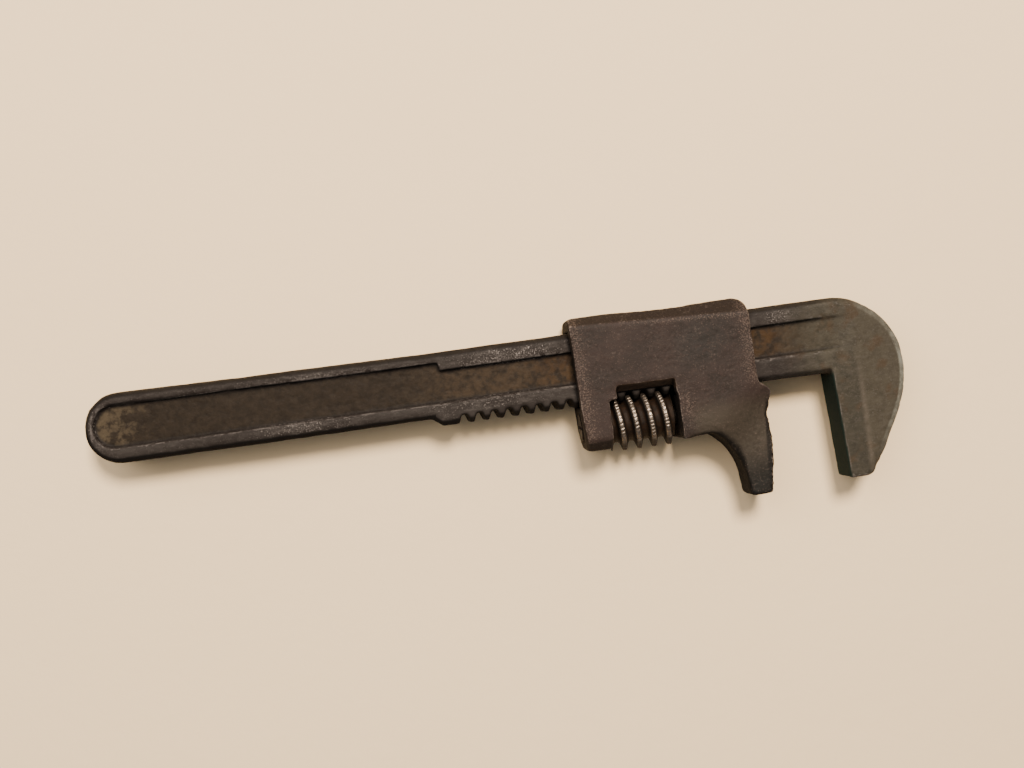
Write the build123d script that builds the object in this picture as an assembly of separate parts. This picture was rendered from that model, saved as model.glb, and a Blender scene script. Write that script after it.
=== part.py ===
from build123d import *
import os
from math import pi, radians, tan

# Old adjustable wrench, nominal 9 inch: a forged bar with a rack, a sliding jaw, an adjusting
# worm and the pin that the worm turns on. All sizes are in millimetres.
#
# Shapes are drawn in the bar's own frame: u along the bar, 0 at the fixed jaw's face and positive
# towards the head; v across the bar, 0 at the tips of the rack's teeth; w through the thickness,
# 0 in the middle. At the end every piece moves to the part's frame: +X is u, +Y is v, +Z is w,
# with the origin at the bottom centre of the wrench as it lies flat.

# ---- driving dimensions ----
THREADS_PER_INCH = 6
PITCH = 25.4 / THREADS_PER_INCH

BAR_THICKNESS = 10.4
SHANK_HEIGHT = 20.9
HANDLE_END_U = -211.2
HANDLE_TOP_V = 22.15
HANDLE_BOTTOM_V = 1.95
SHOULDER_START_U = -110.4
SHOULDER_END_U = -105.8
HEAD_TOP_END_U = 2.4
JAW_FACE_DEPTH = 30.2
JAW_FACE_LEAN = 1.3
JAW_TIP_U = 8.9
EDGE_BEVEL = 1.35

PANEL_DEPTH = 1.5
PANEL_BOTTOM_V = 6.7
PANEL_SHANK_TOP_V = 15.4
PANEL_HANDLE_TOP_V = 18.0
PANEL_END_U = -208.0
PANEL_RAMP_START_U = -7.0
PANEL_RAMP_END_U = 7.0
PANEL_STEP_RUN = 0.6
PANEL_WALL_DRAFT = 14.0

RIDGE_U = 7.5
RIDGE_SLOPE = 8.0

GROOVE_COUNT = 20
FIRST_GROOVE_U = -104.52
GROOVE_DEPTH = 2.4
GROOVE_TIP_WIDTH = 3.0
GROOVE_ROOT_WIDTH = 1.6

SLEEVE_LEFT_U = -72.4
SLEEVE_RIGHT_U = -22.1
SLEEVE_END_LEAN = 0.9
SLEEVE_THICKNESS = 19.0
SLEEVE_TOP_V = 24.9
LUG_BOTTOM_V = -12.9
BORE_CLEARANCE = 0.35
POCKET_LEFT_U = -63.9
POCKET_RIGHT_U = -44.7
POCKET_LEDGE_V = 0.7
WINDOW_LEFT_U = -61.4
WINDOW_RIGHT_U = -45.0
WINDOW_TOP_V = 2.5
WINDOW_BEVEL_TOP_V = 4.8
LOWER_JAW_TIP_V = -31.2
LOWER_JAW_TOP_U = -18.4
LOWER_JAW_TIP_U = -20.7
LOWER_JAW_TIP_WIDTH = 7.6
LOWER_JAW_THICKNESS = 11.6
LOWER_JAW_BLEND = 9.0

WORM_AXIS_V = -6.0
WORM_RADIUS = 8.1
WORM_ROOT_RADIUS = 5.6
WORM_END_GAP = 0.25
WORM_END_PLAY = 1.4
CREST_WIDTH = 1.2
THREAD_ROOT_WIDTH = 2.66

PIN_RADIUS = 2.5
PIN_RUNNING_CLEARANCE = 0.06
PIN_HEAD_RADIUS = 3.9
PIN_HEAD_THICKNESS = 2.6
PIN_HEAD_RECESS = 0.5
PIN_BITE = 6.0
PIN_SLOT_WIDTH = 1.0
PIN_SLOT_DEPTH = 1.1

HALF_BAR = BAR_THICKNESS / 2
HALF_SLEEVE = SLEEVE_THICKNESS / 2
HALF_JAW = LOWER_JAW_THICKNESS / 2


# ---- helpers ----
def face_of(*edges):
    """A flat face inside a closed loop of edges in the u-v plane."""
    return make_face(Curve() + list(edges))


def prism(face, half_thickness):
    """A u-v face thickened equally to both sides of the middle plane."""
    return extrude(face, half_thickness, both=True)


def block(u_span, v_span, w_span):
    """A box given by its lowest and highest u, v and w."""
    sizes = [high - low for low, high in (u_span, v_span, w_span)]
    middles = [(low + high) / 2 for low, high in (u_span, v_span, w_span)]
    return Pos(*middles) * Box(*sizes)


def both_sides(cutter):
    """A cutter and its mirror image through the middle plane."""
    return [cutter, mirror(cutter, about=Plane.XY)]


# ---- bar ----
def bar_outline():
    """Side view of the handle, shank, head and fixed jaw, before the rack is cut."""
    end_u = HANDLE_END_U + (HANDLE_TOP_V - HANDLE_BOTTOM_V) / 2
    middle_v = (HANDLE_TOP_V + HANDLE_BOTTOM_V) / 2
    handle_start = (SHOULDER_START_U - 1.6, SHANK_HEIGHT)
    head_top = (HEAD_TOP_END_U, SHANK_HEIGHT)
    jaw_outer = (JAW_TIP_U, -28.2)
    jaw_tip_outer = (JAW_TIP_U - 2.6, -JAW_FACE_DEPTH)
    jaw_tip_inner = (JAW_FACE_LEAN, -JAW_FACE_DEPTH)
    shoulder_top = (SHOULDER_START_U - 3.0, HANDLE_BOTTOM_V + 0.35)
    return face_of(
        Line((end_u, HANDLE_TOP_V), handle_start),
        Line(handle_start, head_top),
        Spline(head_top, (9.1, 19.3), (15.6, 14.1), (19.4, 7.3), (20.1, -3.8), (17.4, -12.9),
               (13.1, -21.4), jaw_outer, tangents=[(1, 0), (-0.56, -0.83)]),
        ThreePointArc(jaw_outer, (JAW_TIP_U - 0.8, -29.7), jaw_tip_outer),
        Line(jaw_tip_outer, jaw_tip_inner),
        Line(jaw_tip_inner, (0, 0)),
        Line((0, 0), (SHOULDER_START_U, 0)),
        Line((SHOULDER_START_U, 0), shoulder_top),
        Line(shoulder_top, (end_u, HANDLE_BOTTOM_V)),
        ThreePointArc((end_u, HANDLE_BOTTOM_V), (HANDLE_END_U, middle_v), (end_u, HANDLE_TOP_V)),
    )


def bevelled_edge(edge):
    """True for an outline edge that the forging leaves bevelled: all but the jaw's face and tip."""
    middle = edge @ 0.5
    on_broad_face = abs(abs(middle.Z) - HALF_BAR) < 0.01 and abs((edge @ 0).Z - (edge @ 1).Z) < 0.01
    on_jaw_face = middle.Y < -1 and middle.X < JAW_TIP_U
    return on_broad_face and not on_jaw_face


def head_slopes():
    """Cutters that slope the head's broad faces away from the ridge towards the outer edge."""
    run = 25.0
    drop = run * tan(radians(RIDGE_SLOPE))
    section = Plane.XZ * Polyline((RIDGE_U, HALF_BAR), (RIDGE_U + run, HALF_BAR - drop),
                                  (RIDGE_U + run, HALF_BAR + 5), (RIDGE_U, HALF_BAR + 5), close=True)
    return both_sides(extrude(make_face(section), 60, both=True))


def panel_cutters():
    """Cutters for the long recessed panels, with sloping walls, fading out in the head."""
    floor_w = HALF_BAR - PANEL_DEPTH
    radius = (PANEL_HANDLE_TOP_V + 0.3 - PANEL_BOTTOM_V) / 2
    end_u = PANEL_END_U + radius
    step_u = SHOULDER_START_U + 1.0
    step_top = (step_u - PANEL_STEP_RUN, PANEL_HANDLE_TOP_V - 0.4)
    beyond_u = PANEL_RAMP_END_U + 2
    outline = face_of(
        Line((end_u, PANEL_BOTTOM_V), (beyond_u, PANEL_BOTTOM_V)),
        Line((beyond_u, PANEL_BOTTOM_V), (beyond_u, PANEL_SHANK_TOP_V)),
        Line((beyond_u, PANEL_SHANK_TOP_V), (step_u, PANEL_SHANK_TOP_V)),
        Line((step_u, PANEL_SHANK_TOP_V), step_top),
        Line(step_top, (end_u, PANEL_BOTTOM_V + 2 * radius)),
        ThreePointArc((end_u, PANEL_BOTTOM_V + 2 * radius), (PANEL_END_U, PANEL_BOTTOM_V + radius),
                      (end_u, PANEL_BOTTOM_V)),
    )
    recess = extrude(Pos(0, 0, floor_w) * outline, PANEL_DEPTH + 1, taper=-PANEL_WALL_DRAFT)
    ramp = Plane.XZ * Polyline((HANDLE_END_U, floor_w - 1), (PANEL_RAMP_START_U, floor_w - 1),
                               (PANEL_RAMP_START_U, floor_w), (PANEL_RAMP_END_U, HALF_BAR),
                               (PANEL_RAMP_END_U, HALF_BAR + 3), (HANDLE_END_U, HALF_BAR + 3), close=True)
    return both_sides(recess & extrude(make_face(ramp), 60, both=True))


def rack_groove(centre_u):
    """Cutter for one rack groove, slanted to the worm's helix angle at the rack's tip line."""
    reach = HALF_BAR + 2
    slant = PITCH / (2 * pi * (WORM_RADIUS - GROOVE_DEPTH / 2))
    lead = reach * slant
    tip, root = GROOVE_TIP_WIDTH / 2, GROOVE_ROOT_WIDTH / 2
    mouth = tip + (tip - root) / GROOVE_DEPTH
    profile = make_face(Polyline((centre_u - mouth, -1), (centre_u - root, GROOVE_DEPTH),
                                 (centre_u + root, GROOVE_DEPTH), (centre_u + mouth, -1), close=True))
    return extrude(Pos(-lead, 0, -reach) * profile, dir=(2 * lead, 0, 2 * reach),
                   amount=2 * (lead ** 2 + reach ** 2) ** 0.5)


def make_bar():
    """Handle, shank with its rack, head and fixed jaw: one forging."""
    bar = prism(bar_outline(), HALF_BAR)
    bar = chamfer(bar.edges().filter_by(bevelled_edge), EDGE_BEVEL)
    bar -= head_slopes()
    bar -= panel_cutters()
    bar -= [rack_groove(FIRST_GROOVE_U + k * PITCH) for k in range(GROOVE_COUNT)]
    return bar


# ---- sliding jaw ----
def sliding_jaw_outline():
    """Side view of the sleeve, the two lugs with the worm pocket between them, and the jaw."""
    lug_right_v = LUG_BOTTOM_V + 0.2
    top_left = (SLEEVE_LEFT_U, SLEEVE_TOP_V - 1.2)
    top_start = (SLEEVE_LEFT_U + 1.2, SLEEVE_TOP_V)
    top_end = (SLEEVE_RIGHT_U - 3.4, SLEEVE_TOP_V - 0.4)
    right_top = (SLEEVE_RIGHT_U, SLEEVE_TOP_V - 4.6)
    right_bottom = (SLEEVE_RIGHT_U, 0.4)
    jaw_top = (LOWER_JAW_TOP_U, -2.2)
    tip_right = (LOWER_JAW_TIP_U, LOWER_JAW_TIP_V)
    tip_left = (LOWER_JAW_TIP_U - LOWER_JAW_TIP_WIDTH, LOWER_JAW_TIP_V)
    heel = (POCKET_RIGHT_U + 5.4, lug_right_v)
    lug_left = (SLEEVE_LEFT_U + SLEEVE_END_LEAN, LUG_BOTTOM_V)
    lug_inner = (POCKET_LEFT_U, LUG_BOTTOM_V)
    pocket_left = (POCKET_LEFT_U, POCKET_LEDGE_V)
    pocket_right = (POCKET_RIGHT_U, POCKET_LEDGE_V)
    lug_right = (POCKET_RIGHT_U, lug_right_v)
    return face_of(
        ThreePointArc(top_left, (SLEEVE_LEFT_U + 0.35, SLEEVE_TOP_V - 0.35), top_start),
        Spline(top_start, (-58.0, SLEEVE_TOP_V - 0.2), (-45.0, SLEEVE_TOP_V - 0.7),
               (-32.0, SLEEVE_TOP_V - 0.4), top_end),
        ThreePointArc(top_end, (SLEEVE_RIGHT_U - 0.9, SLEEVE_TOP_V - 1.7), right_top),
        Line(right_top, right_bottom),
        Line(right_bottom, jaw_top),
        Line(jaw_top, tip_right),
        Line(tip_right, tip_left),
        Spline(tip_left, (-29.0, -23.8), (-31.7, -17.8), (-34.7, -14.4), heel,
               tangents=[(-0.05, 1), (-1, 0.05)]),
        Line(heel, lug_right),
        Line(lug_right, pocket_right),
        Line(pocket_right, pocket_left),
        Line(pocket_left, lug_inner),
        Line(lug_inner, lug_left),
        Line(lug_left, top_left),
    )


def bore_cutter():
    """The rectangular bore that runs along the shank."""
    v_span = (-BORE_CLEARANCE, SHANK_HEIGHT + BORE_CLEARANCE)
    half_width = HALF_BAR + BORE_CLEARANCE
    return block((SLEEVE_LEFT_U - 1, SLEEVE_RIGHT_U + 9), v_span, (-half_width, half_width))


def window_cutters():
    """The upper window that shows the rack, with its bevelled top edge on both broad faces."""
    inner_w = HALF_BAR + BORE_CLEARANCE
    window = block((WINDOW_LEFT_U, WINDOW_RIGHT_U), (POCKET_LEDGE_V - 1, WINDOW_TOP_V),
                   (-HALF_SLEEVE - 1, HALF_SLEEVE + 1))
    slope = (WINDOW_BEVEL_TOP_V - WINDOW_TOP_V) / (HALF_SLEEVE - inner_w)
    section = Plane.YZ.offset(WINDOW_LEFT_U) * Polyline(
        (WINDOW_TOP_V, inner_w), (WINDOW_BEVEL_TOP_V + slope, HALF_SLEEVE + 1),
        (WINDOW_TOP_V - 1, HALF_SLEEVE + 1), (WINDOW_TOP_V - 1, inner_w), close=True)
    bevel = extrude(make_face(section), WINDOW_RIGHT_U - WINDOW_LEFT_U)
    return [window] + both_sides(bevel)


def top_bevels():
    """The sleeve's upper long edges: a bevel that widens towards the jaw end."""
    def corner(u, height, width):
        apex_v, apex_w = SLEEVE_TOP_V + 1, HALF_SLEEVE + 1
        return make_face(Plane.YZ.offset(u) * Polyline(
            (apex_v, apex_w), (SLEEVE_TOP_V - height - height / width, apex_w),
            (apex_v, HALF_SLEEVE - width - width / height), close=True))
    narrow = corner(SLEEVE_LEFT_U - 1, 2.4, 3.0)
    wide = corner(SLEEVE_RIGHT_U + 1, 5.0, 4.2)
    return both_sides(loft([narrow, wide]))


def lug_bevels():
    """The left lug's lower long edges, bevelled round the worm."""
    width, height = 3.4, 3.0
    section = Plane.YZ.offset(SLEEVE_LEFT_U - 1) * Polyline(
        (LUG_BOTTOM_V, HALF_SLEEVE - width), (LUG_BOTTOM_V + height, HALF_SLEEVE),
        (LUG_BOTTOM_V + height, HALF_SLEEVE + 1), (LUG_BOTTOM_V - 1, HALF_SLEEVE + 1),
        (LUG_BOTTOM_V - 1, HALF_SLEEVE - width), close=True)
    return both_sides(extrude(make_face(section), WINDOW_LEFT_U - SLEEVE_LEFT_U))


def jaw_thinning():
    """Cutters that slope the sleeve's broad faces down to the thinner jaw, along a diagonal."""
    start = Vector(SLEEVE_RIGHT_U, 0.6, 0)
    finish = Vector(POCKET_RIGHT_U + 5.5, LUG_BOTTOM_V - 0.6, 0)
    along = (finish - start).normalized()
    across = along.cross(Vector(0, 0, -1)).normalized()
    plane = Plane(origin=start - along * 25, x_dir=across, z_dir=along)
    side = 1 if plane.y_dir.Z > 0 else -1
    section = plane * Polyline(
        (0, side * HALF_SLEEVE), (LOWER_JAW_BLEND, side * HALF_JAW), (50, side * HALF_JAW),
        (50, side * (HALF_SLEEVE + 2)), (0, side * (HALF_SLEEVE + 2)), close=True)
    return both_sides(extrude(make_face(section), 75, dir=along))


def pin_bore_cutter():
    """Pin hole through the left lug, blind in the right one, with a seat for the pin's head."""
    seat_u = SLEEVE_LEFT_U + PIN_HEAD_RECESS + PIN_HEAD_THICKNESS
    hole = along_bar(Cylinder(PIN_RADIUS, POCKET_RIGHT_U + PIN_BITE - SLEEVE_LEFT_U,
                              align=(Align.CENTER, Align.CENTER, Align.MIN)), SLEEVE_LEFT_U)
    seat = along_bar(Cylinder(PIN_HEAD_RADIUS, seat_u - SLEEVE_LEFT_U + 1,
                              align=(Align.CENTER, Align.CENTER, Align.MIN)), SLEEVE_LEFT_U - 1)
    return [hole, seat]


def make_sliding_jaw():
    """Sleeve, lugs and movable jaw: one forging."""
    jaw = prism(sliding_jaw_outline(), HALF_SLEEVE)
    jaw -= jaw_thinning()
    jaw -= top_bevels()
    jaw -= lug_bevels()
    jaw -= bore_cutter()
    jaw -= window_cutters()
    jaw -= pin_bore_cutter()
    return jaw


# ---- worm and pin ----
def along_bar(shape, start_u):
    """Turn a shape built on the Z axis so that it runs along u on the worm's axis."""
    return Plane(origin=(start_u, WORM_AXIS_V, 0), x_dir=(0, 1, 0), z_dir=(1, 0, 0)) * shape


def worm_ends():
    """Where the worm starts and ends along the bar, between the two lugs."""
    return POCKET_LEFT_U + WORM_END_GAP, POCKET_RIGHT_U + WORM_END_GAP - WORM_END_PLAY


def make_worm():
    """Right-hand single-start worm, in mesh with the rack, with a running bore for its pin."""
    left_u, right_u = worm_ends()
    length = right_u - left_u
    turns = round(length / PITCH) + 4
    start_groove = round((left_u - FIRST_GROOVE_U) / PITCH) - 2
    start_u = FIRST_GROOVE_U + start_groove * PITCH
    sunk_radius = WORM_ROOT_RADIUS - 0.4
    path = Helix(pitch=PITCH, height=turns * PITCH, radius=sunk_radius)
    flank = (THREAD_ROOT_WIDTH - CREST_WIDTH) / 2 / (WORM_RADIUS - WORM_ROOT_RADIUS)
    base = THREAD_ROOT_WIDTH / 2 + 0.4 * flank
    depth = WORM_RADIUS - sunk_radius
    profile = make_face(Plane.XZ * Polyline(
        (sunk_radius, -base), (sunk_radius + depth, -CREST_WIDTH / 2),
        (sunk_radius + depth, CREST_WIDTH / 2), (sunk_radius, base), close=True))
    thread = along_bar(sweep(profile, path, is_frenet=True), start_u)
    align_low = (Align.CENTER, Align.CENTER, Align.MIN)
    core = along_bar(Cylinder(WORM_ROOT_RADIUS, length, align=align_low), left_u)
    envelope = along_bar(Cylinder(WORM_RADIUS + 1, length, align=align_low), left_u)
    hole = along_bar(Cylinder(PIN_RADIUS + PIN_RUNNING_CLEARANCE, length + 2, align=align_low), left_u - 1)
    return (core + (thread & envelope)) - hole


def make_worm_pin():
    """Pin with a slotted head in the left lug; its end sits in the right lug."""
    head_u = SLEEVE_LEFT_U + PIN_HEAD_RECESS
    align_low = (Align.CENTER, Align.CENTER, Align.MIN)
    shank = along_bar(Cylinder(PIN_RADIUS, POCKET_RIGHT_U + PIN_BITE - head_u, align=align_low), head_u)
    head = along_bar(Cylinder(PIN_HEAD_RADIUS, PIN_HEAD_THICKNESS, align=align_low), head_u)
    slot = block((head_u - 1, head_u + PIN_SLOT_DEPTH),
                 (WORM_AXIS_V - PIN_SLOT_WIDTH / 2, WORM_AXIS_V + PIN_SLOT_WIDTH / 2), (-5, 5))
    return shank + head - slot


# ---- assembly ----
def make_nodes():
    """Every piece by name, in the part's frame."""
    nodes = {
        "bar": make_bar(),
        "sliding_jaw": make_sliding_jaw(),
        "worm": make_worm(),
        "worm_pin": make_worm_pin(),
    }
    box = Compound(children=[Part(piece.wrapped) for piece in nodes.values()]).bounding_box()
    to_part_frame = Pos(-(box.min.X + box.max.X) / 2, -(box.min.Y + box.max.Y) / 2, -box.min.Z)
    return {name: to_part_frame * piece for name, piece in nodes.items()}


def main():
    """Write one STEP file for each piece."""
    os.makedirs("parts", exist_ok=True)
    for name, piece in make_nodes().items():
        export_step(piece, f"parts/{name}.step")


if __name__ == "__main__":
    main()
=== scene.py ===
from math import cos, pi, radians, sin
from types import SimpleNamespace

import bmesh
import bpy
import numpy as np
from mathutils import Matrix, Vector, kdtree, noise


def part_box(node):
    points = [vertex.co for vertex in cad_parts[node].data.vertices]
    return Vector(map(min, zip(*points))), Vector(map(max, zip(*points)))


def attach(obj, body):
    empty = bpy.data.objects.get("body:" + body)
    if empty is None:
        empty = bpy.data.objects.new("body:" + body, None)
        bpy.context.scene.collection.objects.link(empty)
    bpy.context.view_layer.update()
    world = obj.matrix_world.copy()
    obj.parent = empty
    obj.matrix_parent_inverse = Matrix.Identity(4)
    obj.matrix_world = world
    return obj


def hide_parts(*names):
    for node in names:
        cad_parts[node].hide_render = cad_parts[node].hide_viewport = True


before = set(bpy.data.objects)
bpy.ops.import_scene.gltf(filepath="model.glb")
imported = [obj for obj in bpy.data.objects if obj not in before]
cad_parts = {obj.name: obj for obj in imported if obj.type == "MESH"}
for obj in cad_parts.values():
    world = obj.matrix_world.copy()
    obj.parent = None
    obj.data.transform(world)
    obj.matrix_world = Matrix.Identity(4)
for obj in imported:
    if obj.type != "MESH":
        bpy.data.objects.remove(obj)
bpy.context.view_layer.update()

# Old adjustable wrench. The forged pieces start from their CAD solids: each is remeshed finely, its
# edges are worn and chipped, and forging waves and pits are moved into the mesh. The worm is a new
# mesh with a nicked crest. The pin keeps its CAD shape.
#
# Shapes are worked on in the bar's frame, in millimetres: u along the bar, 0 at the fixed jaw's face;
# v across it, 0 at the rack's tooth tips; w through the thickness, 0 in the middle.

MM = 0.001

# bar
HANDLE_END_U = -211.2
HANDLE_ROUND_U = -201.1
HANDLE_TOP_V = 22.15
HANDLE_LOW_V = 1.95
SHOULDER_U = -112.0
SHANK_TOP_V = 20.9
BAR_HALF = 5.2
PANEL_LOW_V = 5.9
PANEL_HIGH_V = 18.7
PANEL_END_U = -209.4
RAMP_END_U = 7.0
RIDGE_U = 7.5
RIDGE_SLOPE = 8.0
HEAD_BEVEL_WIDTH = 1.8
HEAD_BEVEL_DROP = 1.0
HEAD_SWELL = 0.9
RACK_START_U = -106.5
RACK_END_U = -20
BAR_VOXEL = 0.32
JAW_CORNER = (8.4, -28.8)
JAW_CORNER_REACH = 3.2
TOP_FLANGE_V = (14.5, 15.3)

# Patches rubbed bright along the flanges: the centre, the reach and the weight of each.
UPPER_RUBS = ((-90, 24, 0.65), (-145, 28, 0.35), (-13, 7, 0.6))
LOWER_RUBS = ((-150, 24, 0.55), (-95, 26, 0.45))
END_RUB_U = -209
END_RUB_REACH = 7

# Where an area of the bar fades in: 0 at the first value, 1 at the second.
BEVEL_FADE_V = (-31, -20)
SWELL_FADE_U = (9, 20)
SWELL_FADE_V = (-30, -16)
END_RIM_FADE_U = (-190, -206)
HEAD_RIM_FADE_U = (6, 14)
HEAD_RIM_FADE_V = (-27, -19)
HEAD_FADE_U = (-16, 0)
SLOPE_FADE_V = (-29, -22)
SHANK_FADE_U = (-125, -98)
DIRT_FADE_U = (-180, -210)
RUST_FADE_U = (-88, -76)
RUST_FADE_V = (9, 15)

# sliding jaw
SLEEVE_LEFT_U = -72.4
SLEEVE_RIGHT_U = -22.1
SLEEVE_TOP_V = 24.9
SLEEVE_BEVEL_LEFT = 2.5
SLEEVE_BEVEL_RIGHT = 5.1
SLEEVE_VOXEL = 0.3
WINDOW_LEFT_U = -61.4
WINDOW_RIGHT_U = -45.0
JAW_TOP = (-18.4, -2.2)
JAW_TIP = (-20.7, -31.2)
BLEND_ACROSS = (0.634, -0.773)
FACE_CHIP_V = -8.7
FACE_RIDGE_V = -20.5
LOWER_LEFT_INSET = 1.1
BLUE_SPOT = (-36, 14)
BLUE_REACH = 13

# Where an area of the sliding jaw fades in: 0 at the first value, 1 at the second.
JAW_FADE_U = (-44, -38)
JAW_FADE_V = (-1, -8)
TIP_FADE_V = (-15, -28)
INSET_FADE_U = (-41, -37)
RIGHT_BAND_FADE_U = (-27.5, -23.0)
TOP_BAND_FADE_U = (-66, -44)

# worm
WORM_AXIS_V = -6.0
PITCH = 25.4 / 6
NICKS_PER_TURN = 44
WORM_COLUMNS = NICKS_PER_TURN * 8
ROWS_PER_PITCH = 34
THREAD_CREST = 1.2
THREAD_ROOT = 2.66
THREAD_DEPTH = 2.5
BORE_RADIUS = 2.56
FIRST_GROOVE_U = -104.52

# camera
SENSOR_WIDTH = 36
LENS = 34.8
CAMERA_U = -101.0
CAMERA_DISTANCE = 278
CAMERA_TURN = -7.9
CENTRE_U = -89.7
CENTRE_V = 9.1

bar_low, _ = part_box("bar")
jaw_low, jaw_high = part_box("sliding_jaw")
ORIGIN = np.array([
    bar_low.x - HANDLE_END_U * MM,
    jaw_low.y - JAW_TIP[1] * MM,
    (jaw_low.z + jaw_high.z) / 2,
])


def bar_point(u, v, w):
    """A place given in the bar's frame, in metres in the part's frame."""
    return Vector(ORIGIN + np.array([u, v, w]) * MM)


# ---- mesh work ----
def smoothstep(values, low, high):
    """0 below low, 1 above high, smooth between; low may be above high."""
    t = np.clip((values - low) / (high - low), 0, 1)
    return t * t * (3 - 2 * t)


def bump(values, centre, reach):
    """1 at the centre, falling smoothly to 0 at the reach on either side."""
    return 1 - smoothstep(np.abs(values - centre), 0, reach)


def patches(values, base, spots):
    """The base, plus a soft patch for each spot, which has a centre, a reach and a weight."""
    for centre, reach, weight in spots:
        base = base + weight * bump(values, centre, reach)
    return base


def between(values, low, high, soft):
    """1 from low to high, falling to 0 over the soft width inside each end."""
    return smoothstep(values, low, low + soft) * smoothstep(values, high, high - soft)


class Surface:
    """A mesh's points in the bar's frame, with what is needed to smooth, push and paint them."""

    def __init__(self, mesh):
        self.mesh = mesh
        count = len(mesh.vertices)
        flat = np.empty(count * 3)
        mesh.vertices.foreach_get("co", flat)
        self.points = (flat.reshape(-1, 3) - ORIGIN) / MM
        edges = np.empty(len(mesh.edges) * 2, np.int64)
        mesh.edges.foreach_get("vertices", edges)
        self.ends = edges.reshape(-1, 2)
        self.degree = np.bincount(self.ends.ravel(), minlength=count)[:, None]

    def neighbour_mean(self, values):
        """The mean of the values at the neighbours of each point."""
        a, b = self.ends.T
        total = np.empty_like(values)
        for k in range(values.shape[1]):
            column = values[:, k]
            total[:, k] = np.bincount(a, column[b], len(values)) + np.bincount(b, column[a], len(values))
        return total / self.degree

    def smooth(self, rounds, weight=1.0):
        """Wear the shape round. weight is one number, or one for each point."""
        weight = np.broadcast_to(np.asarray(weight, float).reshape(-1, 1), (len(self.points), 1))
        for _ in range(rounds):
            self.points += 0.5 * weight * (self.neighbour_mean(self.points) - self.points)

    def normals(self):
        """The unit normal at each point."""
        self.store()
        flat = np.empty(len(self.points) * 3)
        self.mesh.vertices.foreach_get("normal", flat)
        return flat.reshape(-1, 3)

    def push(self, amount):
        """Move each point along its normal, in millimetres."""
        self.points += self.normals() * np.asarray(amount).reshape(-1, 1)

    def convexity(self, rounds, full):
        """From -1 in a sharp hollow to 1 on a sharp edge; full is the height of a sharp one."""
        settled = self.points.copy()
        for _ in range(rounds):
            settled += 0.5 * (self.neighbour_mean(settled) - settled)
        return np.clip(((self.points - settled) * self.normals()).sum(1) / full, -1, 1)

    def edges(self, rounds=8):
        """1 on sharp edges, 0 on flats and in hollows."""
        return np.clip(self.convexity(rounds, 0.09), 0, 1)

    def broad(self, high):
        """1 where the surface faces straight up or down, 0 on the walls."""
        return smoothstep(np.abs(self.normals()[:, 2]), 0.80, high)

    def spread(self, values, rounds):
        """Values blurred over the surface."""
        values = np.asarray(values, float).reshape(-1, 1)
        for _ in range(rounds):
            values = 0.5 * values + 0.5 * self.neighbour_mean(values)
        return values[:, 0]

    def grain(self, size, seed):
        """Smooth noise from about -1 to 1, with lumps of that size in millimetres."""
        scaled = self.points / size + seed * 17.31
        return np.array([noise.noise(p) for p in map(Vector, scaled)]) * 1.6

    def paint(self, name, values):
        """Keep one value for each point for the material to read."""
        layer = self.mesh.attributes.new(name, "FLOAT", "POINT")
        layer.data.foreach_set("value", np.clip(values, 0, 1).astype(np.float32))

    def paint_edges(self, dull):
        """Paint the worn edges, except where dull is 1, and the dirty hollows."""
        self.paint("wear", self.convexity(5, 0.05) * (1 - dull))
        self.paint("cavity", -self.convexity(10, 0.095))

    def store(self):
        """Write the points back to the mesh."""
        self.mesh.vertices.foreach_set("co", (self.points * MM + ORIGIN).ravel())
        self.mesh.update()


def link(obj):
    """Put a new object in the scene."""
    bpy.context.scene.collection.objects.link(obj)
    return obj


def fine_copy(node, voxel):
    """A new object with the CAD node's shape, remeshed evenly with edges of about voxel millimetres."""
    obj = link(bpy.data.objects.new(f"{node}_forging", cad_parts[node].data.copy()))
    remesh = obj.modifiers.new("remesh", "REMESH")
    remesh.mode = "VOXEL"
    remesh.voxel_size = voxel * MM
    bpy.context.view_layer.update()
    evaluated = obj.evaluated_get(bpy.context.evaluated_depsgraph_get())
    mesh = bpy.data.meshes.new_from_object(evaluated)
    obj.modifiers.clear()
    obj.data = mesh
    mesh.materials.clear()
    mesh.shade_smooth()
    return obj


# ---- bar ----
def head_wall(surface):
    """Points on the head's outer wall and their outward normals, flattened to the bar's plane."""
    normals = surface.normals()
    u, v, _ = surface.points.T
    on_wall = (np.abs(normals[:, 2]) < 0.3) & (normals[:, 0] > -0.2) & (u > 3) & (v > -29)
    outward = normals[on_wall] * (1, 1, 0)
    return surface.points[on_wall] * (1, 1, 0), outward / np.linalg.norm(outward, axis=1)[:, None]


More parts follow.
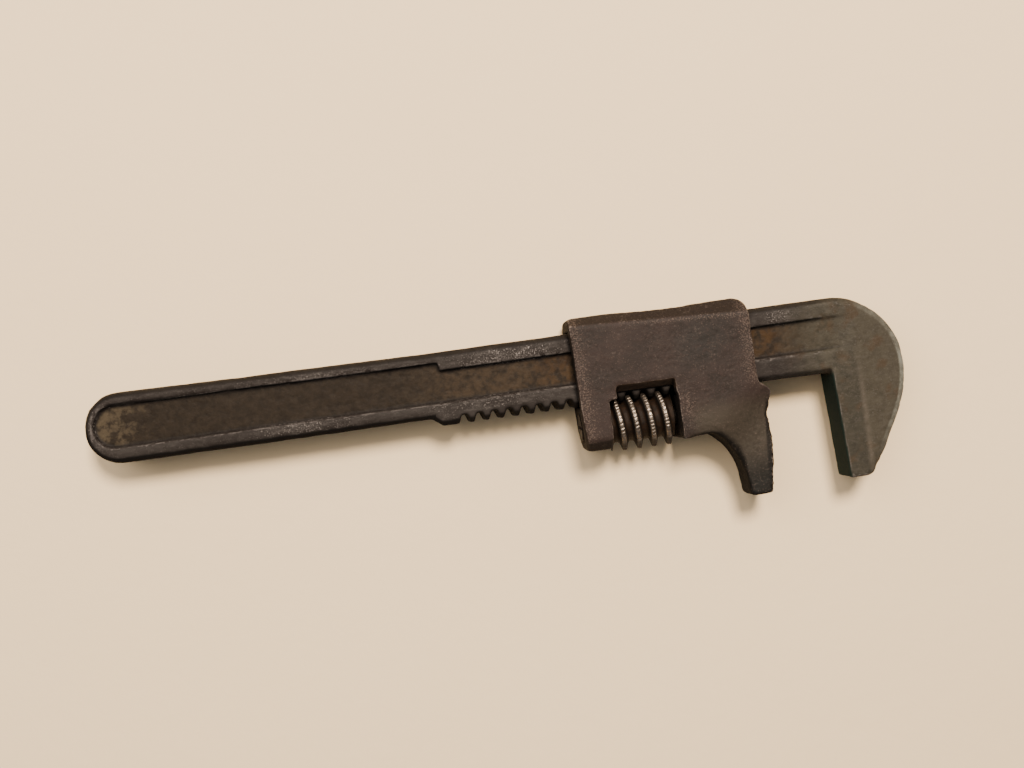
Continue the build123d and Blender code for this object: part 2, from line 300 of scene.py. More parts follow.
def bevel_head(surface):
    """Bevel the head's outer edge, following its sloping faces. Gives 1 on the bevel, 0 away from it."""
    wall, outward = head_wall(surface)
    tree = kdtree.KDTree(len(wall))
    for index, place in enumerate(wall):
        tree.insert(place, index)
    tree.balance()
    u, v, w = surface.points.T
    face_w = BAR_HALF - np.tan(radians(RIDGE_SLOPE)) * np.clip(u - RIDGE_U, 0, None)
    bevel = np.zeros(len(u))
    for index in np.flatnonzero((u > 4) & (np.abs(w) > 1)):
        _, nearest, distance = tree.find(surface.points[index] * (1, 1, 0))
        drop = HEAD_BEVEL_DROP * smoothstep(v[index], *BEVEL_FADE_V)
        bevel[index] = smoothstep(distance, HEAD_BEVEL_WIDTH + 0.1, HEAD_BEVEL_WIDTH - 0.4)
        excess = abs(w[index]) - (face_w[index] - drop * (1 - distance / HEAD_BEVEL_WIDTH))
        if excess > 0:
            step = excess / (HEAD_BEVEL_WIDTH ** 2 + drop ** 2) * HEAD_BEVEL_WIDTH
            surface.points[index] -= outward[nearest] * step * drop
            surface.points[index, 2] -= np.sign(w[index]) * step * HEAD_BEVEL_WIDTH
    surface.points[:, 0] += HEAD_SWELL * smoothstep(u, *SWELL_FADE_U) * smoothstep(v, *SWELL_FADE_V)
    return bevel


def rim_distance(u, v):
    """Distance in from the outer edge of the handle and shank, and whether the upper edge is the near one."""
    top_v = np.interp(u, (HANDLE_ROUND_U, SHOULDER_U), (HANDLE_TOP_V, SHANK_TOP_V))
    low_v = np.where(u < SHOULDER_U, HANDLE_LOW_V, 0)
    middle_v = (HANDLE_TOP_V + HANDLE_LOW_V) / 2
    from_end = HANDLE_ROUND_U - HANDLE_END_U - np.hypot(u - HANDLE_ROUND_U, v - middle_v)
    return np.where(u < HANDLE_ROUND_U, from_end, np.minimum(top_v - v, v - low_v)), v > middle_v


def shape_bar(surface):
    """Wear, chip and pit the bar. Gives the areas that its paint starts from, each from 0 to 1."""
    u, v, w = surface.points.T
    areas = SimpleNamespace()
    areas.rack = (smoothstep(v, 3.6, 2.8) * smoothstep(u, RACK_START_U, RACK_START_U + 1)
                  * smoothstep(u, RACK_END_U + 1, RACK_END_U - 1))
    areas.jaw_face = smoothstep(v, 1.0, -1.0) * smoothstep(u, 3.4, 2.0)
    areas.panel_box = (between(v, PANEL_LOW_V, PANEL_HIGH_V, 0.4)
                       * between(u, PANEL_END_U, RAMP_END_U + 2, 0.4))
    areas.bevel = bevel_head(surface)
    surface.smooth(3)
    rounded = surface.edges() * (1 - areas.panel_box) * (1 - 0.85 * areas.jaw_face)
    surface.smooth(7, surface.spread(rounded, 2))
    surface.smooth(26, smoothstep(u, SHOULDER_U, SHOULDER_U - 6) * (1 - areas.panel_box))
    from_corner = np.hypot(u - JAW_CORNER[0], v - JAW_CORNER[1])
    surface.smooth(50, smoothstep(from_corner, JAW_CORNER_REACH, 1.0))

    areas.broad = surface.broad(0.95)
    sunk = BAR_HALF - np.abs(w)
    areas.panel = surface.spread(areas.broad * areas.panel_box * smoothstep(sunk, 0.3, 0.6), 1)
    forged = 0.09 * surface.grain(16, 1) + 0.05 * surface.grain(5, 2)
    pits = 0.07 * np.clip(surface.grain(1.5, 3) - 0.15, 0, 1) + 0.035 * surface.grain(0.8, 4)
    chips = 0.16 * smoothstep(surface.grain(1.9, 5), 0.25, 0.8) + 0.10 * surface.grain(6, 6)
    quiet = (1 - 0.85 * areas.rack) * (1 - 0.6 * areas.jaw_face)
    surface.push(quiet * (forged - pits * (0.35 + 0.65 * areas.panel) - surface.edges() * chips))
    surface.store()
    return areas


def paint_bar(surface, areas):
    """Paint what the bar's material reads."""
    u, v, _ = surface.points.T
    normals = surface.normals()
    broad, panel = areas.broad, areas.panel
    rim = (1 - surface.spread(broad, 1)) * (1 - areas.panel_box) * (1 - areas.jaw_face)
    # Painted shade: bevels on the top side and the band along the outer edge of the handle and shank are
    # darkened.
    rim_top_shade = rim * smoothstep(normals[:, 1], 0.15, 0.5) * smoothstep(u, 10, -4)
    # Painted shade: bevels and the outer edge band on the low side, which face away from the light, are
    # darkened.
    rim_low_shade = rim * smoothstep(-normals[:, 1], 0.05, 0.4) * smoothstep(u, 4, 1)
    inward, upper = rim_distance(u, v)
    edge_band = smoothstep(inward + 0.12 * surface.grain(3, 7), 1.9, 1.2) * smoothstep(u, -4, -8)
    rim_top_shade = np.maximum(rim_top_shade, edge_band * upper)
    rim_low_shade = np.maximum(rim_low_shade, edge_band * ~upper * (1 - 0.6 * between(u, -64, -42, 2)))
    rim_low_shade *= 1 - 0.5 * smoothstep(u, -24, -17)
    surface.paint("rim_top_shade", rim_top_shade)
    surface.paint("rim_low_shade", rim_low_shade)
    # Painted shade: the bevels and edge band round the handle's end are darkened.
    surface.paint("rim_end_shade", np.maximum(rim, edge_band) * smoothstep(u, *END_RIM_FADE_U))
    # Painted highlight: the head's outer bevel, facing the light, is painted light.
    surface.paint("rim_head_highlight", surface.spread(areas.bevel, 1) * smoothstep(u, *HEAD_RIM_FADE_U)
                  * (0.4 + 0.6 * bump(v, -3, 17)) * smoothstep(v, *HEAD_RIM_FADE_V))

    # Painted shade: the fixed jaw's inner face, turned away from the light, is darkened.
    jaw_face = areas.jaw_face * smoothstep(-normals[:, 0], 0.4, 0.8)
    # Painted shade: the rack's groove walls and tooth bevels, which lie in shade, are darkened.
    walls = surface.spread(areas.rack * (1 - broad), 1)
    dark = np.maximum.reduce([0.85 * rim_top_shade, rim_low_shade, jaw_face, 0.9 * areas.rack])
    surface.paint_edges(dark)
    surface.paint("dull", np.maximum.reduce([rim_low_shade, jaw_face, walls]))
    surface.paint("jaw_face", jaw_face)
    surface.paint("rack", walls)

    top_flange = smoothstep(v, *TOP_FLANGE_V)
    rub = top_flange * patches(u, 0.35, UPPER_RUBS) + (1 - top_flange) * patches(u, 0.3, LOWER_RUBS)
    rub = np.maximum(rub, 0.8 * bump(u, END_RUB_U, END_RUB_REACH))
    surface.paint("rub", rub * (1 - panel) * (1 - dark))

    near_sleeve = np.maximum(smoothstep(u, *RUST_FADE_U), bump(u, -17.5, 5)) * smoothstep(u, -13, -15)
    surface.paint("panel", panel)
    surface.paint("shank", smoothstep(u, *SHANK_FADE_U) * panel)
    surface.paint("rust", near_sleeve * panel * (0.55 + 0.45 * smoothstep(v, *RUST_FADE_V)))
    surface.paint("dirt", panel * smoothstep(u, *DIRT_FADE_U))

    slope = smoothstep(u, RIDGE_U, RIDGE_U + 1)
    surface.paint("head", smoothstep(u, *HEAD_FADE_U))
    surface.paint("slope", slope * smoothstep(v, *SLOPE_FADE_V))
    surface.paint("jaw_band", (1 - slope) * smoothstep(v, 3, -6) * smoothstep(u, -1, 0))
    surface.paint("ridge", bump(u, RIDGE_U + 0.15, 1.3) * smoothstep(v, 16, -14) * broad)


def make_bar():
    """Handle, shank, rack, head and fixed jaw."""
    obj = fine_copy("bar", BAR_VOXEL)
    surface = Surface(obj.data)
    paint_bar(surface, shape_bar(surface))
    return obj


# ---- sliding jaw ----
def working_face_u(v):
    """Where the movable jaw's working face is at that height."""
    return np.interp(v, (JAW_TIP[1], JAW_TOP[1]), (JAW_TIP[0], JAW_TOP[0]))


def round_jaw(surface, areas):
    """Round the edges, blend the jaw into the sleeve and pull its lower left edge in."""
    u, v, w = surface.points.T
    window = between(u, WINDOW_LEFT_U - 4, WINDOW_RIGHT_U + 1.5, 0.8) * between(v, -14, 5.6, 0.8)
    surface.smooth(3)
    rounded = surface.spread(surface.edges(10), 3)
    surface.smooth(18, rounded * (1 - areas.inside) * (1 - 0.8 * window))
    past_blend = (u - SLEEVE_RIGHT_U) * BLEND_ACROSS[0] + (v - 0.6) * BLEND_ACROSS[1]
    blend = between(past_blend, -6, 15, 3) * smoothstep(np.abs(surface.normals()[:, 2]), 0.75, 0.9)
    surface.smooth(150, surface.spread(blend * (1 - areas.inside), 4))
    left_lug = between(u, SLEEVE_LEFT_U - 1, WINDOW_LEFT_U - 2, 1.2) * smoothstep(v, -7, -9)
    surface.smooth(30, left_lug)
    normals = surface.normals()
    outward = -0.7 * (normals[:, 0] + smoothstep(v, -26, -18) * normals[:, 1])
    lower_left = areas.jaw * smoothstep(outward, 0.0, 0.4)
    surface.push(-LOWER_LEFT_INSET * surface.spread(lower_left * smoothstep(u, *INSET_FADE_U), 6))
    surface.smooth(170, surface.spread(lower_left * smoothstep(np.abs(w), 1.5, 4.6), 6))


def shape_sliding_jaw(surface):
    """Wear, chip and pit the sliding jaw. Gives the areas that its paint starts from, each from 0 to 1."""
    u, v, w = surface.points.T
    areas = SimpleNamespace()
    areas.inside = smoothstep(np.abs(w), 6.4, 5.9) * smoothstep(v, -1.5, -0.8) * smoothstep(v, 22.2, 21.6)
    areas.jaw = smoothstep(v, *JAW_FADE_V) * smoothstep(u, *JAW_FADE_U)
    round_jaw(surface, areas)

    face_u = working_face_u(v)
    near_face = smoothstep(u, face_u - 2.6, face_u - 0.4) * smoothstep(v, -1.5, -4)
    front = smoothstep(w, -2, 5.4)
    worn_back = 0.85 * bump(v, FACE_CHIP_V, 6.5) - 0.3 * bump(v, FACE_RIDGE_V, 7)
    worn_back += 0.35 * smoothstep(v, -26, -31)
    ragged = 0.16 * surface.grain(2.2, 21) + 0.12 * surface.grain(0.9, 22)
    surface.points[:, 0] -= near_face * (0.35 + 0.65 * front) * (worn_back + ragged)

    edge = surface.edges()
    forged = 0.14 * surface.grain(12, 23) + 0.07 * surface.grain(4.5, 24)
    pits = 0.045 * np.clip(surface.grain(1.6, 25), 0, 1) + 0.03 * surface.grain(0.8, 26)
    chips = edge * (0.12 * smoothstep(surface.grain(1.8, 27), 0.2, 0.8) + 0.10 * surface.grain(5, 28))
    chips += 0.22 * (edge * near_face) * smoothstep(surface.grain(1.3, 29), -0.2, 0.5)
    sleeve_face = surface.broad(0.97) * smoothstep(np.abs(w), 8.6, 9.1)
    lift = (forged - pits - chips) * (1 - areas.inside)
    surface.push(lift - sleeve_face * np.clip(lift, 0, None) - 0.05 * sleeve_face)
    surface.store()
    return areas


def paint_sliding_jaw(surface, areas):
    """Paint what the sliding jaw's material reads."""
    u, v, _ = surface.points.T
    normals = surface.normals()
    inside, jaw = areas.inside, areas.jaw
    walls = 1 - surface.broad(0.95)
    bevel = np.interp(u, (SLEEVE_LEFT_U, SLEEVE_RIGHT_U), (SLEEVE_BEVEL_LEFT, SLEEVE_BEVEL_RIGHT))
    bevel_line = SLEEVE_TOP_V - bevel
    # Painted shade: the jaw's rounded lower left side, turned away from the light, is darkened.
    heel_shade = surface.spread(jaw * smoothstep(-normals @ (0.8, 0.6, 0), 0.05, 0.45), 4)
    facing_left = smoothstep(-normals[:, 0], 0.5, 0.85)
    facing_down = smoothstep(-normals[:, 1], 0.3, 0.8)
    shade = np.maximum(facing_left, facing_down) * (1 - jaw)
    surface.paint_edges(np.maximum.reduce([heel_shade, inside, 0.6 * shade]))
    surface.paint("dull", np.maximum.reduce([heel_shade, inside, 0.7 * shade]))
    surface.paint("heel_shade", heel_shade)
    surface.paint("shade", shade)
    surface.paint("inside", inside)

    left_band = bump(u, SLEEVE_LEFT_U + 1.6 + 0.02 * (24 - v), 3.6)
    right_band = 1.25 * smoothstep(u, *RIGHT_BAND_FADE_U) * smoothstep(v, -2, 3)
    window_band = bump(u, WINDOW_RIGHT_U + 2.6, 4.5) * bump(v, -4, 9)
    top_band = 0.9 * bump(v, bevel_line - 0.3, 1.3) * smoothstep(u, *TOP_BAND_FADE_U)
    surface.paint("bands", np.maximum.reduce([left_band, right_band, window_band, top_band]) * (1 - inside))
    surface.paint("blue", bump(u, BLUE_SPOT[0], BLUE_REACH) * bump(v, BLUE_SPOT[1], BLUE_REACH))
    # Painted shade: the sleeve's top bevel is darkened.
    surface.paint("top", between(v, bevel_line + 0.2, SLEEVE_TOP_V + 1, 0.6) * walls)
    # Painted light: the window's top wall, which lies in shadow, is painted lighter brown as if lit.
    surface.paint("sill", between(v, 1.6, 5.6, 0.5)
                  * between(u, WINDOW_LEFT_U - 0.4, WINDOW_RIGHT_U + 0.4, 0.3) * walls)

    face_u = working_face_u(v)
    surface.paint("jaw", jaw)
    surface.paint("tip", smoothstep(v, *TIP_FADE_V) * jaw)
    surface.paint("strip", smoothstep(u, face_u - 1.9, face_u - 1.4) * smoothstep(v, -4, -6))


def make_sliding_jaw():
    """Sleeve, lugs and movable jaw."""
    obj = fine_copy("sliding_jaw", SLEEVE_VOXEL)
    surface = Surface(obj.data)
    paint_sliding_jaw(surface, shape_sliding_jaw(surface))
    return obj


# ---- worm ----
def worm_radius(phase, turn_angle, crest_radius):
    """Radius of the worm where the thread's middle is phase millimetres away along the axis."""
    flank = (THREAD_ROOT - THREAD_CREST) / 2
    rise = np.clip((THREAD_ROOT / 2 - np.abs(phase)) / flank, 0, 1)
    rounded_edge = 0.16 * smoothstep(np.abs(phase), THREAD_CREST / 2 - 0.3, THREAD_CREST / 2 + 0.1)
    fillet = 0.2 * smoothstep(np.abs(phase), THREAD_ROOT / 2 + 0.4, THREAD_ROOT / 2)
    radius = crest_radius - THREAD_DEPTH * (1 - rise) - rise * rounded_edge + (1 - rise) * fillet
    slant = 1.5 + 0.8 * np.sin(turn_angle * 1.7)
    nick_angle = turn_angle * NICKS_PER_TURN + slant * phase + 1.2 * np.sin(turn_angle * 6.1)
    uneven = 0.55 + 0.45 * np.sin(turn_angle * 2.3 + 1.1) * np.sin(turn_angle * 9.7)
    nick = np.clip(2.0 * np.cos(nick_angle) - 1.0, 0, 1)
    worn = 0.04 * np.sin(turn_angle * 3.1) + 0.04
    return radius - smoothstep(rise, 0.55, 1) * (nick * 0.34 * uneven + worn)


def worm_points(left, right, crest_radius):
    """The worm's points: rows that follow the thread, cut off square at both ends, then the bore's rings."""
    step = PITCH / ROWS_PER_PITCH
    rows = int(np.ceil((right - left + PITCH) / step)) + 3
    angles = np.arange(WORM_COLUMNS) * 2 * pi / WORM_COLUMNS
    along = left - PITCH - step + np.arange(rows)[:, None] * step + PITCH * angles[None, :] / (2 * pi)
    along = np.clip(along, left, right)
    thread_place = (along - FIRST_GROOVE_U) / PITCH - angles[None, :] / (2 * pi)
    nearest = np.round(thread_place)
    phase = (thread_place - nearest) * PITCH
    turn_angle = nearest * 2 * pi + angles[None, :]
    radius = worm_radius(phase, turn_angle, crest_radius)

    def ring(x, r):
        return np.stack([x, WORM_AXIS_V + r * np.cos(angles), r * np.sin(angles)], axis=-1)

    skin = ring(along, radius).reshape(-1, 3)
    bore_left = ring(np.full(WORM_COLUMNS, left), np.full(WORM_COLUMNS, BORE_RADIUS))
    bore_right = ring(np.full(WORM_COLUMNS, right), np.full(WORM_COLUMNS, BORE_RADIUS))
    return rows, np.concatenate([skin, bore_left, bore_right])


def worm_faces(rows):
    """The worm's faces. A row's last column joins its first one a whole pitch further on."""
    columns = np.arange(WORM_COLUMNS)
    following = (columns + 1) % WORM_COLUMNS
    row_lift = np.where(columns + 1 == WORM_COLUMNS, ROWS_PER_PITCH, 0)
    faces = []
    for row in range(rows - 1):
        lower = np.minimum(row + row_lift, rows - 1)
        upper = np.minimum(row + 1 + row_lift, rows - 1)
        faces.append((row * WORM_COLUMNS + columns, lower * WORM_COLUMNS + following,
                      upper * WORM_COLUMNS + following, (row + 1) * WORM_COLUMNS + columns))
    last = (rows - 1) * WORM_COLUMNS
    bore_left = rows * WORM_COLUMNS
    bore_right = bore_left + WORM_COLUMNS
    for first, second in ((bore_left, 0), (last, bore_right), (bore_right, bore_left)):
        faces.append((first + columns, first + following, second + following, second + columns))
    return np.concatenate([np.stack(corners, axis=1) for corners in faces]).tolist()


def make_worm():
    """Adjusting worm, with a nicked crest and a bore for the pin."""
    low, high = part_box("worm")
    left, right = (low.x - ORIGIN[0]) / MM, (high.x - ORIGIN[0]) / MM
    crest_radius = (high.y - low.y) / 2 / MM
    rows, points = worm_points(left, right, crest_radius)
    mesh = bpy.data.meshes.new("worm_thread")
    mesh.from_pydata(points * MM + ORIGIN, [], worm_faces(rows))
    clean = bmesh.new()
    clean.from_mesh(mesh)
    bmesh.ops.remove_doubles(clean, verts=clean.verts, dist=1e-7)
    bmesh.ops.recalc_face_normals(clean, faces=clean.faces)
    clean.to_mesh(mesh)
    clean.free()
    mesh.shade_smooth()
    surface = Surface(mesh)
    u, v, w = surface.points.T
    height = np.hypot(v - WORM_AXIS_V, w)
    ends = np.maximum(bump(u, left, 0.3), bump(u, right, 0.3))
    surface.push(0.03 * (surface.grain(1.1, 41) - 1) * (1 - ends))
    surface.store()
    surface.paint("crest", smoothstep(height, crest_radius - 0.75, crest_radius - 0.25))
    surface.paint("valley", smoothstep(height, crest_radius - 1.3, crest_radius - 2.1))
    # Painted shade: the worm's low side, away from the key light, is darkened.
    surface.paint("low_side_shade", smoothstep(-v, 0.45 * crest_radius - WORM_AXIS_V,
                                      0.85 * crest_radius - WORM_AXIS_V))
    return link(bpy.data.objects.new("worm_thread", mesh))


# ---- materials ----
class Shader:
    """Short calls for building a node material. Sizes are in millimetres."""

    def __init__(self, name, specular):
        self.material = bpy.data.materials.new(name)
        self.material.use_nodes = True
        self.tree = self.material.node_tree
        self.bsdf = self.tree.nodes["Principled BSDF"]
        self.bsdf.inputs["Specular IOR Level"].default_value = specular
        place = self.tree.nodes.new("ShaderNodeTexCoord")
        scale = self.tree.nodes.new("ShaderNodeVectorMath")
        scale.operation = "SCALE"
        scale.inputs["Scale"].default_value = 1 / MM
        self.tree.links.new(place.outputs["Object"], scale.inputs[0])
        self.place = scale.outputs[0]

    def put(self, socket, value):
        """Link a node's output to the socket, or set the socket to a number or colour."""
        if isinstance(value, bpy.types.NodeSocket):
            self.tree.links.new(value, socket)
        elif isinstance(value, tuple):
            socket.default_value = (*value, 1) if len(socket.default_value) == 4 else value
        else:
            socket.default_value = value

    def noise(self, size, detail=4, roughness=0.55, stretch=(1, 1, 1), seed=0.0):
        """Noise from 0 to 1 with lumps of that size."""
        mapping = self.tree.nodes.new("ShaderNodeMapping")
        self.put(mapping.inputs["Vector"], self.place)
        mapping.inputs["Location"].default_value = (seed * 3.7, seed * 1.9, seed * 2.3)
        mapping.inputs["Scale"].default_value = tuple(1 / (size * s) for s in stretch)
        node = self.tree.nodes.new("ShaderNodeTexNoise")
        self.put(node.inputs["Vector"], mapping.outputs[0])
        node.inputs["Scale"].default_value = 1.0
        node.inputs["Detail"].default_value = detail
        node.inputs["Roughness"].default_value = roughness
        return node.outputs[0]

    def math(self, operation, a, b=0.0, clamp=False):
        """A sum, difference or other operation on two values."""
        node = self.tree.nodes.new("ShaderNodeMath")
        node.operation = operation
        node.use_clamp = clamp
        self.put(node.inputs[0], a)
        self.put(node.inputs[1], b)
        return node.outputs[0]

    def times(self, first, *others):
        """The product of all the values."""
        for other in others:
            first = self.math("MULTIPLY", first, other)
        return first

    def span(self, value, low, high, to_low=0.0, to_high=1.0):
        """Value mapped smoothly from low..high to to_low..to_high."""
        node = self.tree.nodes.new("ShaderNodeMapRange")
        node.interpolation_type = "SMOOTHSTEP"
        for name, number in zip(("Value", "From Min", "From Max", "To Min", "To Max"),
                                (value, low, high, to_low, to_high)):
            self.put(node.inputs[name], number)
        return node.outputs[0]

    def mix(self, share, a, b):
        """Colour a turning into colour b."""
        node = self.tree.nodes.new("ShaderNodeMix")
        node.data_type = "RGBA"
        self.put(node.inputs[0], share)
        self.put(node.inputs[6], a)
        self.put(node.inputs[7], b)
        return node.outputs[2]

    def painted(self, name):
        """The value painted on the mesh under that name."""
        node = self.tree.nodes.new("ShaderNodeAttribute")
        node.attribute_name = name
        return node.outputs["Fac"]

    def over(self, colour, *layers):
        """The colour with layers on it, each a painted name, how much it covers, and its colour."""
        for name, share, tint in layers:
            colour = self.mix(self.times(self.painted(name), share), colour, tint)
        return colour

    def scuffs(self, patch_size, size, low, seed):
        """Fine scuffs that come in patches."""
        patch = self.span(self.noise(patch_size, 2, seed=seed), low, 0.7)
        return self.times(patch, self.span(self.noise(size, 4, 0.7, seed=seed + 1), 0.5, 0.7))

    def forged_roughness(self, base, bright, speckle):
        """The base roughness, less where the steel is bright and more where it is painted dull."""
        smoother = self.span(bright, 0, 1, base, 0.42)
        rough = self.math("ADD", smoother, self.span(speckle, 0.3, 0.7, -0.06, 0.08))
        return self.math("ADD", rough, self.times(self.painted("dull"), 0.38), clamp=True)

    def bump(self, height, depth, below=None):
        """Surface relief of that depth in millimetres."""
        node = self.tree.nodes.new("ShaderNodeBump")
        node.inputs["Distance"].default_value = depth * MM
        self.put(node.inputs["Height"], height)
        if below is not None:
            self.put(node.inputs["Normal"], below)
        return node.outputs[0]

    def finish(self, colour, metal, rough, normal):
        """Connect the shader and give the material."""
        self.put(self.bsdf.inputs["Base Color"], colour)
        self.put(self.bsdf.inputs["Metallic"], metal)
        self.put(self.bsdf.inputs["Roughness"], rough)
        self.put(self.bsdf.inputs["Normal"], normal)
        return self.material


def bar_material():
    """Old forged steel: dark oxide, rust in the panels, rubbed brighter on flanges and edges."""
    s = Shader("bar_steel", 0.12)
    rub, rust, dirt = s.painted("rub"), s.painted("rust"), s.painted("dirt")
    cloud = s.noise(11, 3, seed=1)
    mottle = s.noise(2.4, 5, 0.6, seed=2)
    speckle = s.noise(0.42, 3, 0.6, seed=3)
    streak = s.noise(0.8, 4, 0.6, stretch=(2.5, 1, 1), seed=4)

    flange = s.mix(s.span(cloud, 0.35, 0.65), (0.0150, 0.0110, 0.0090), (0.0228, 0.0180, 0.0153))
    flange = s.mix(s.span(mottle, 0.5, 0.75, 0, 0.6), flange, (0.0092, 0.0063, 0.0042))
    pit = s.mix(s.span(mottle, 0.3, 0.7), (0.0120, 0.0077, 0.0044), (0.0190, 0.0127, 0.0076))
    pit = s.mix(s.times(s.painted("shank"), s.span(mottle, 0.3, 0.65)), pit, (0.0325, 0.0205, 0.0112))
    colour = s.mix(s.painted("panel"), flange, pit)

    olive = s.mix(s.span(mottle, 0.35, 0.7), (0.0433, 0.0365, 0.0250), (0.0267, 0.0232, 0.0158))
    olive = s.over(olive,
                   ("slope", 0.4, (0.0560, 0.0460, 0.0315)),
                   ("jaw_band", 0.35, (0.0195, 0.0170, 0.0118)))
    olive = s.mix(s.span(s.noise(7, 3, seed=7), 0.54, 0.68, 0, 0.65), olive, (0.0440, 0.0270, 0.0138))
    olive = s.mix(s.times(s.scuffs(3.5, 0.8, 0.48, seed=8), 0.7), olive, (0.0780, 0.0660, 0.0500))
    colour = s.over(colour, ("head", 0.85, olive))

    colour = s.mix(s.times(rust, s.span(mottle, 0.38, 0.62)), colour, (0.0410, 0.0205, 0.0068))
    colour = s.mix(s.times(rust, s.span(cloud, 0.55, 0.4), 0.7), colour, (0.0168, 0.0088, 0.0042))
    clay = s.times(s.span(s.math("ADD", s.noise(3.6, 5, 0.6, seed=6), s.times(dirt, 0.28)), 0.64, 0.80), dirt)
    colour = s.mix(s.times(clay, 0.85), colour, (0.0620, 0.0450, 0.0265))
    colour = s.over(colour,
                    ("ridge", s.span(mottle, 0.3, 0.65, 0.15, 0.6), (0.0850, 0.0680, 0.0510)),
                    # Painted highlight on the head's outer bevel.
                    ("rim_head_highlight", s.span(mottle, 0.35, 0.6, 1.0, 0.45), (0.1700, 0.1680, 0.1430)),
                    # Painted shade on the top side's bevels and edge band.
                    ("rim_top_shade", 0.75, (0.0067, 0.0046, 0.0034)),
                    # Painted shade on the handle end's bevels and edge band.
                    ("rim_end_shade", 0.75, (0.0044, 0.0033, 0.0026)),
                    # Painted shade on the low side's bevels and edge band.
                    ("rim_low_shade", 0.92, (0.0025, 0.0017, 0.0013)),
                    # Painted shade on the fixed jaw's inner face.
                    ("jaw_face", 0.95, (0.0085, 0.0170, 0.0135)),
                    # Painted shade on the rack's groove walls and tooth bevels.
                    ("rack", 0.75, (0.0059, 0.0042, 0.0029)),
                    ("cavity", 0.65, (0.0038, 0.0026, 0.0019)))

    worn_edge = s.times(s.span(s.math("ADD", s.painted("wear"), speckle), 1.0, 1.6),
                        s.span(mottle, 0.4, 0.62, 0.05, 0.45))
    sheen = s.times(s.span(streak, 0.45, 0.7), rub, 0.22)
    grains = s.times(s.span(s.math("ADD", speckle, s.times(rub, 0.11)), 0.60, 0.80),
                     rub, s.span(mottle, 0.35, 0.6, 0.4, 1.2))
    bright = s.math("MAXIMUM", s.math("MAXIMUM", worn_edge, sheen), grains, clamp=True)
    colour = s.mix(bright, colour, (0.160, 0.137, 0.124))
    metal = s.span(bright, 0, 1, 0.05, 0.6)
    normal = s.bump(s.noise(2.1, 4, 0.6, seed=5), 0.14)
    normal = s.bump(speckle, 0.08, normal)
    return s.finish(colour, metal, s.forged_roughness(0.62, bright, speckle), normal)


def sleeve_material():
    """The sliding jaw's dark brown patina, speckled bare at the ends and round the window."""
    s = Shader("sleeve_steel", 0.14)
    cloud = s.noise(9, 3, seed=11)
    mottle = s.noise(1.8, 5, 0.65, seed=12)
    speckle = s.noise(0.40, 3, 0.6, seed=13)

    colour = s.mix(s.span(cloud, 0.35, 0.62), (0.0244, 0.0155, 0.0126), (0.0185, 0.0126, 0.0101))
    colour = s.over(colour, ("blue", 0.75, (0.0155, 0.0134, 0.0113)))
    colour = s.mix(s.span(mottle, 0.5, 0.72, 0, 0.6), colour, (0.0344, 0.0218, 0.0176))
    colour = s.mix(s.span(mottle, 0.45, 0.25, 0, 0.6), colour, (0.0109, 0.0071, 0.0050))
    colour = s.over(colour,
                    ("jaw", 0.7, (0.0420, 0.0335, 0.0235)),
                    ("tip", 0.8, (0.0020, 0.0028, 0.0027)),
                    # Painted shade on the jaw's lower left side.
                    ("heel_shade", 0.92, (0.0016, 0.0013, 0.0011)),
                    ("strip", 0.8, (0.0042, 0.0034, 0.0025)),
                    ("shade", 0.75, (0.0067, 0.0046, 0.0034)),
                    # Painted light on the window's shadowed top wall.
                    ("sill", 0.85, (0.0450, 0.0270, 0.0165)),
                    # Painted shade on the sleeve's top bevel.
                    ("top", 0.85, (0.0105, 0.0065, 0.005)))
    colour = s.mix(s.times(s.scuffs(3.2, 0.7, 0.5, seed=16), 0.75), colour, (0.0640, 0.0470, 0.0390))
    dusty = s.span(s.math("ADD", speckle, s.times(s.painted("bands"), 0.12)), 0.58, 0.76)
    dusty = s.times(dusty, s.math("SUBTRACT", 1.0, s.painted("shade"), clamp=True))
    colour = s.mix(s.times(dusty, 0.7), colour, (0.108, 0.076, 0.060))
    colour = s.over(colour,
                    ("cavity", 0.85, (0.0050, 0.0034, 0.0021)),
                    ("inside", 0.9, (0.0042, 0.0029, 0.0021)))

    bright = s.times(s.span(s.math("ADD", s.painted("wear"), speckle), 1.05, 1.6),
                     s.span(mottle, 0.4, 0.6, 0.15, 0.7))
    colour = s.mix(bright, colour, (0.180, 0.140, 0.117))
    metal = s.span(s.math("MAXIMUM", bright, s.times(dusty, 0.5)), 0, 1, 0.05, 0.7)
    normal = s.bump(s.noise(1.5, 5, 0.65, seed=15), 0.12)
    normal = s.bump(speckle, 0.09, normal)
    return s.finish(colour, metal, s.forged_roughness(0.60, bright, speckle), normal)


def worm_material():
    """Bright nicked crests with dark rust between them, and painted shade on the low side."""
    s = Shader("worm_steel", 0.15)
    fine = s.noise(0.45, 4, 0.7, seed=21)
    mottle = s.noise(1.4, 4, 0.6, seed=22)
    rust = s.mix(s.span(mottle, 0.35, 0.65), (0.011, 0.0048, 0.0017), (0.026, 0.0112, 0.0037))
    colour = s.mix(s.times(s.painted("valley"), 0.5), (0.005, 0.0035, 0.0025), rust)
    steel = s.mix(s.span(fine, 0.35, 0.7), (0.225, 0.185, 0.150), (0.092, 0.067, 0.049))
    # Painted shade: the crest stays dull on the worm's low side.
    clean = s.span(s.painted("low_side_shade"), 0, 1, 1.0, 0.12)
    bare = s.times(s.painted("crest"), s.span(mottle, 0.25, 0.5, 0.5, 1.0), clean)
    colour = s.mix(bare, colour, steel)
    metal = s.span(bare, 0, 1, 0.10, 0.9)
    rough = s.math("ADD", s.span(bare, 0, 1, 0.65, 0.36), s.span(fine, 0.3, 0.7, -0.05, 0.08))
    return s.finish(colour, metal, rough, s.bump(fine, 0.08))


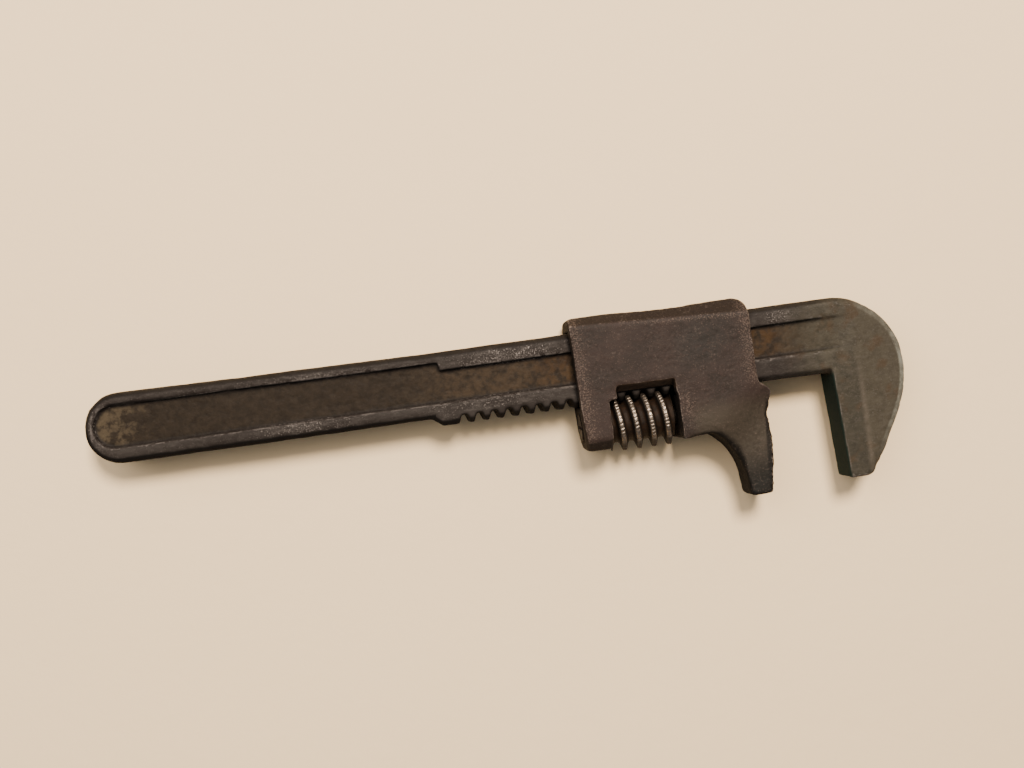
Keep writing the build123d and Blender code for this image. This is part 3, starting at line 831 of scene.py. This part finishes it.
def pin_material():
    """The pin's dull old turned steel."""
    s = Shader("pin_steel", 0.2)
    mottle = s.noise(1.4, 4, 0.6, seed=31)
    fine = s.noise(0.4, 3, 0.6, seed=32)
    colour = s.mix(s.span(mottle, 0.35, 0.65), (0.0150, 0.0105, 0.0080), (0.0085, 0.0055, 0.0038))
    colour = s.mix(s.span(fine, 0.6, 0.75, 0, 0.5), colour, (0.0480, 0.0410, 0.0330))
    normal = s.bump(s.noise(0.8, 4, 0.6, seed=33), 0.08)
    return s.finish(colour, s.span(fine, 0.4, 0.7, 0.05, 0.3), s.span(mottle, 0.3, 0.7, 0.62, 0.80), normal)


def floor_material():
    """A plain pale matt surface, like a plastered wall."""
    s = Shader("floor_pale", 0.2)
    tone = s.mix(s.noise(60, 2, seed=41), (0.86, 0.645, 0.395), (0.84, 0.625, 0.38))
    relief = s.bump(s.noise(5, 4, seed=43), 0.12)
    return s.finish(tone, 0.0, s.span(s.noise(9, 3, seed=42), 0.3, 0.7, 0.8, 0.9), relief)


# ---- stage ----
def make_floor():
    """The floor that the wrench lies on."""
    mesh = bpy.data.meshes.new("floor")
    reach = 1.6
    corners = [(-reach, -reach, 0), (reach, -reach, 0), (reach, reach, 0), (-reach, reach, 0)]
    mesh.from_pydata(corners, [], [(0, 1, 2, 3)])
    mesh.materials.append(floor_material())
    floor = link(bpy.data.objects.new("floor", mesh))


def area_light(name, place, aim, size, power, colour):
    """A round soft light that points at the aim."""
    light = bpy.data.lights.new(name, "AREA")
    light.shape = "DISK"
    light.size = size
    light.energy = power
    light.color = colour
    obj = link(bpy.data.objects.new(name, light))
    obj.location = place
    obj.rotation_euler = (Vector(aim) - Vector(place)).to_track_quat("-Z", "Y").to_euler()


def make_lights():
    """A soft key high on the top side, a weaker fill from the handle end, and a dim surround."""
    centre = (0.0, 0.0, 0.01)
    area_light("key", (0.16, 0.44, 0.86), centre, 0.28, 21.0, (1.0, 0.89, 0.76))
    area_light("fill", (-0.45, 0.35, 0.70), centre, 0.8, 6.0, (1.0, 0.93, 0.84))
    world = bpy.data.worlds.new("surround")
    world.use_nodes = True
    background = world.node_tree.nodes["Background"]
    background.inputs["Color"].default_value = (0.86, 0.90, 0.95, 1)
    background.inputs["Strength"].default_value = 0.28
    bpy.context.scene.world = world


def make_camera():
    """Looks straight down from above the handle. The lens shift brings the frame's middle to CENTRE_U."""
    camera = bpy.data.cameras.new("camera")
    camera.sensor_width = SENSOR_WIDTH
    camera.lens = LENS
    camera.clip_start = 0.01
    shift = (CENTRE_U - CAMERA_U) / CAMERA_DISTANCE * camera.lens / camera.sensor_width
    camera.shift_x = shift * cos(radians(CAMERA_TURN))
    camera.shift_y = -shift * sin(radians(CAMERA_TURN))
    obj = link(bpy.data.objects.new("camera", camera))
    obj.location = bar_point(CAMERA_U, CENTRE_V, BAR_HALF + CAMERA_DISTANCE)
    obj.rotation_euler = (0, 0, radians(CAMERA_TURN))
    bpy.context.scene.camera = obj


def dress(piece, body, node, material):
    """Put a new piece in the place of its CAD node."""
    piece.data.materials.append(material)
    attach(piece, body)
    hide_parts(node)


make_camera()
make_lights()
make_floor()
dress(make_bar(), "bar", "bar", bar_material())
dress(make_sliding_jaw(), "sliding_jaw", "sliding_jaw", sleeve_material())
dress(make_worm(), "worm", "worm", worm_material())
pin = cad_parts["worm_pin"]
pin.data.materials.clear()
pin.data.materials.append(pin_material())
